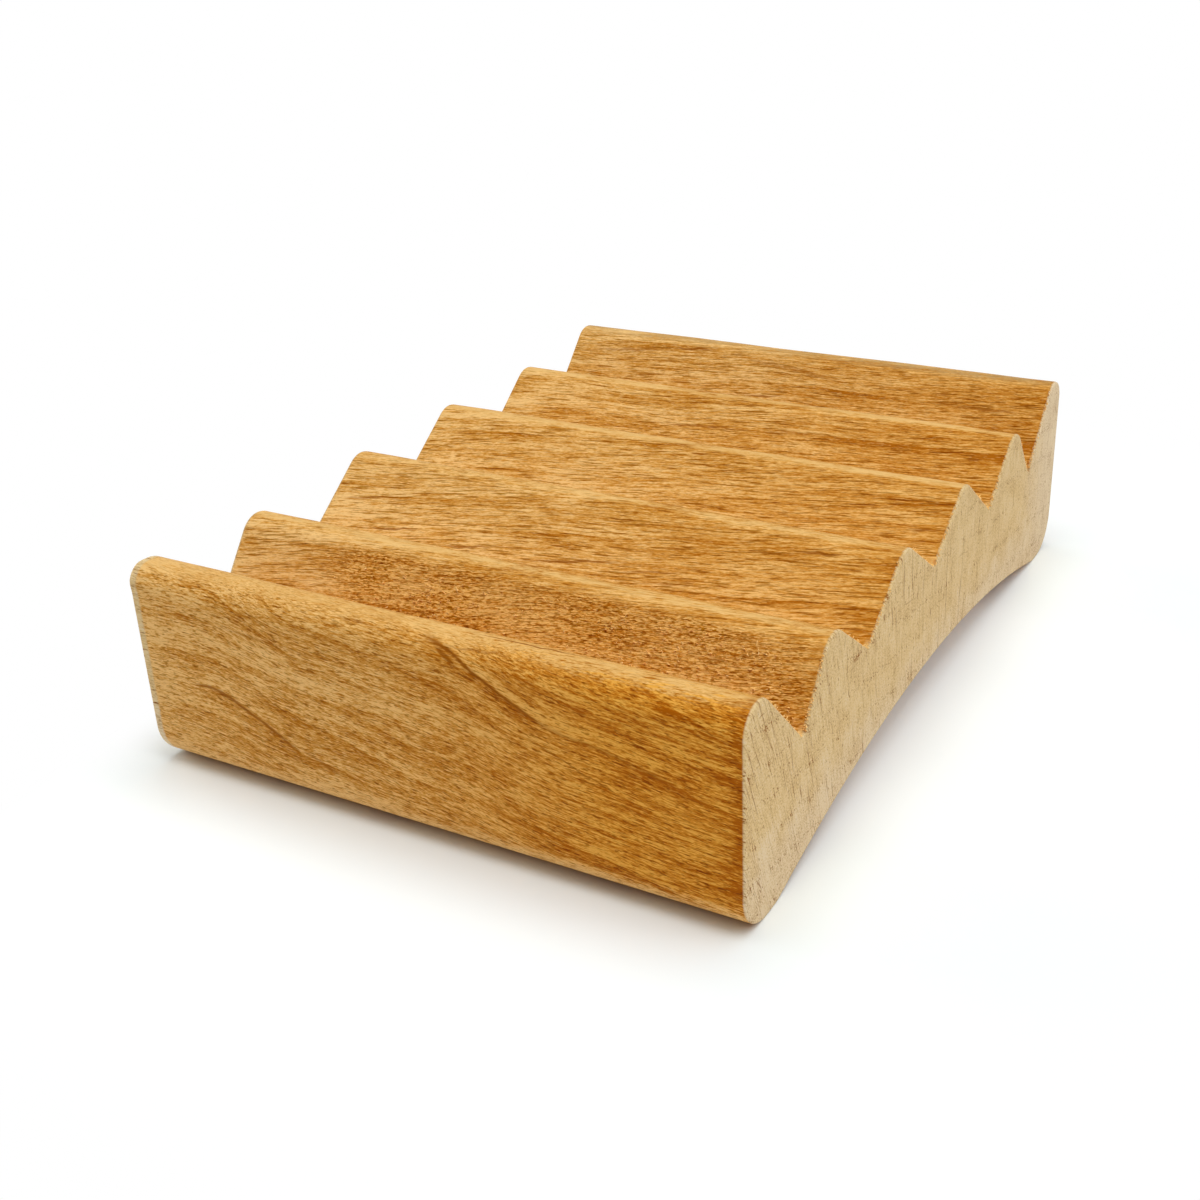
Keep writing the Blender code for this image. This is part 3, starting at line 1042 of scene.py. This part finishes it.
def table_white(stage):
    """White of the table, which keeps the shelf's shadow near it and is plain white farther off; a
    white glow that only the camera sees paints the shadow out with distance.
    """
    sheet = Sheet(bpy.data.materials.new("table_white"))
    x, y, _ = sheet.split(sheet.add("ShaderNodeTexCoord").outputs["Object"])
    past_right = x - BLOCK_WIDTH / 2
    past_left = -x - BLOCK_WIDTH / 2
    past_front = abs(y) - BLOCK_DEPTH / 2
    # Painted light: by the arch the table is lighter and the white glow sets in sooner
    painted_arch_light = between(y, -ARCH_REACH, ARCH_REACH, ARCH_EDGE)
    beside = past_right.above(past_left * LEFT_PAINTED_LIGHT).above(0.0) + painted_arch_light * ARCH_PAINTED_LIGHT
    away = sheet.add(
        "ShaderNodeVectorMath", {"operation": "LENGTH"},
        {0: sheet.join(beside, past_front.above(0.0), 0.0)})
    # Painted light: a white glow that only the camera sees fades the shelf's shadow out with
    # distance
    white_glow = sheet.value(away, "Value").rise(0.0, stage.clear_ring)
    under_block = 1.0 - (abs(x) - BLOCK_WIDTH / 2).rise(-MILLIMETRE, 0.0)
    # Painted shadow: the table is darker in the strip under each foot
    painted_foot_shadow = between(past_front, *FOOT_SHADOW, FOOT_SHADOW_EDGE) * under_block
    # The camera sees the table cooled beside the shelf and painted lighter by the arch
    tint = sheet.mix(painted_arch_light, TABLE_BESIDE, TABLE_PAINTED_ARCH_LIGHT)
    tint = sheet.mix(painted_foot_shadow, tint, TABLE_PAINTED_FOOT_SHADOW)
    seen = sheet.value(sheet.add("ShaderNodeLightPath"), "Is Camera Ray")
    lit = sheet.add("ShaderNodeBsdfDiffuse", {}, {"Color": TABLE_LIT})
    shown = sheet.add("ShaderNodeBsdfDiffuse", {}, {"Color": tint})
    white = sheet.add("ShaderNodeEmission", {}, {"Color": WHITE, "Strength": 1.0})
    near = sheet.add("ShaderNodeMixShader", {}, {0: seen, 1: lit.outputs[0], 2: shown.outputs[0]})
    both = sheet.add(
        "ShaderNodeMixShader", {}, {0: white_glow * seen, 1: near.outputs[0], 2: white.outputs[0]})
    sheet.add("ShaderNodeOutputMaterial", {}, {"Surface": both.outputs[0]})
    return sheet.owner


def lay_table(stage):
    """A plain white table top under the shelf."""
    shape = bmesh.new()
    bmesh.ops.create_grid(shape, x_segments=1, y_segments=1, size=stage.table_size / 2)
    mesh = bpy.data.meshes.new("table_top")
    shape.to_mesh(mesh)
    shape.free()
    mesh.materials.append(table_white(stage))
    table = bpy.data.objects.new("table_top", mesh)
    bpy.context.scene.collection.objects.link(table)


Lamp = namedtuple("Lamp", "name place size power")
LAMPS = (
    Lamp("overhead_softbox", (0.05, 0.00, 1.20), 0.9, 8.2),
    Lamp("high_right_softbox", (0.70, -0.10, 0.95), 0.8, 4.8),
    Lamp("left_softbox", (-1.15, 0.00, 0.40), 0.8, 4.3),
)
LAMP_AIM = (0.0, 0.0, 0.01)


def hang_lamps():
    """Large soft lamps round the shelf."""
    for lamp in LAMPS:
        light = bpy.data.lights.new(lamp.name, "AREA")
        light.shape = "SQUARE"
        light.size = lamp.size
        light.energy = lamp.power
        holder = bpy.data.objects.new(lamp.name, light)
        holder.location = lamp.place
        towards = Vector(LAMP_AIM) - Vector(lamp.place)
        holder.rotation_euler = towards.to_track_quat("-Z", "Y").to_euler()
        bpy.context.scene.collection.objects.link(holder)


def fill_room(stage):
    """Even room light that the camera sees as plain white."""
    room = bpy.data.worlds.new("room")
    bpy.context.scene.world = room
    sheet = Sheet(room)
    seen = sheet.value(sheet.add("ShaderNodeLightPath"), "Is Camera Ray")
    lit = sheet.add("ShaderNodeBackground", {}, {"Color": WHITE, "Strength": stage.sky})
    shown = sheet.add("ShaderNodeBackground", {}, {"Color": WHITE, "Strength": 1.0})
    both = sheet.add("ShaderNodeMixShader", {}, {0: seen, 1: lit.outputs[0], 2: shown.outputs[0]})
    sheet.add("ShaderNodeOutputWorld", {}, {"Surface": both.outputs[0]})


# The camera's sensor in millimetres, and what it can see at all in metres
SENSOR_WIDTH = 36
NEAREST_SEEN = 0.01
FARTHEST_SEEN = 20


def set_camera(stage):
    """The camera, turned, tilted and rolled as a hand-held one."""
    camera = bpy.data.cameras.new("camera")
    camera.lens = stage.lens
    camera.sensor_width = SENSOR_WIDTH
    camera.clip_start = NEAREST_SEEN
    camera.clip_end = FARTHEST_SEEN
    holder = bpy.data.objects.new("camera", camera)
    turn = Matrix.Rotation(stage.heading, 4, "Z")
    tilt = Matrix.Rotation(math.pi / 2 - stage.tilt, 4, "X")
    roll = Matrix.Rotation(stage.roll, 4, "Z")
    holder.matrix_world = Matrix.Translation(stage.camera_place) @ turn @ tilt @ roll
    bpy.context.scene.collection.objects.link(holder)
    bpy.context.scene.camera = holder


class SOAPSHELF_PT_workshop(bpy.types.Panel):
    """Steps that make the soap shelf"""

    bl_idname = "SOAPSHELF_PT_workshop"
    bl_label = "Soap Shelf"
    bl_space_type = "VIEW_3D"
    bl_region_type = "UI"
    bl_category = "Soap Shelf"

    def draw(self, context):
        for step in STEPS:
            self.layout.operator(step.bl_idname)


STEPS = (SOAPSHELF_OT_mill_block, SOAPSHELF_OT_raise_fibres, SOAPSHELF_OT_set_stage)
GROUPS = (ShelfProfile, ShelfMaking, ShelfFinish, ShelfStage, SoapShelf)
CLASSES = GROUPS + STEPS + (SOAPSHELF_PT_workshop,)


def register():
    """Add the workshop's settings, steps and panel."""
    for part in CLASSES:
        bpy.utils.register_class(part)
    bpy.types.Scene.soap_shelf = bpy.props.PointerProperty(type=SoapShelf)


def unregister():
    """Take the workshop's settings, steps and panel away again."""
    del bpy.types.Scene.soap_shelf
    for part in reversed(CLASSES):
        bpy.utils.unregister_class(part)


def main():
    """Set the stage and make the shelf."""
    register()
    bpy.ops.soap_shelf.set_stage()
    bpy.ops.soap_shelf.mill_block()
    bpy.ops.soap_shelf.raise_fibres()


if __name__ == "__main__":
    main()
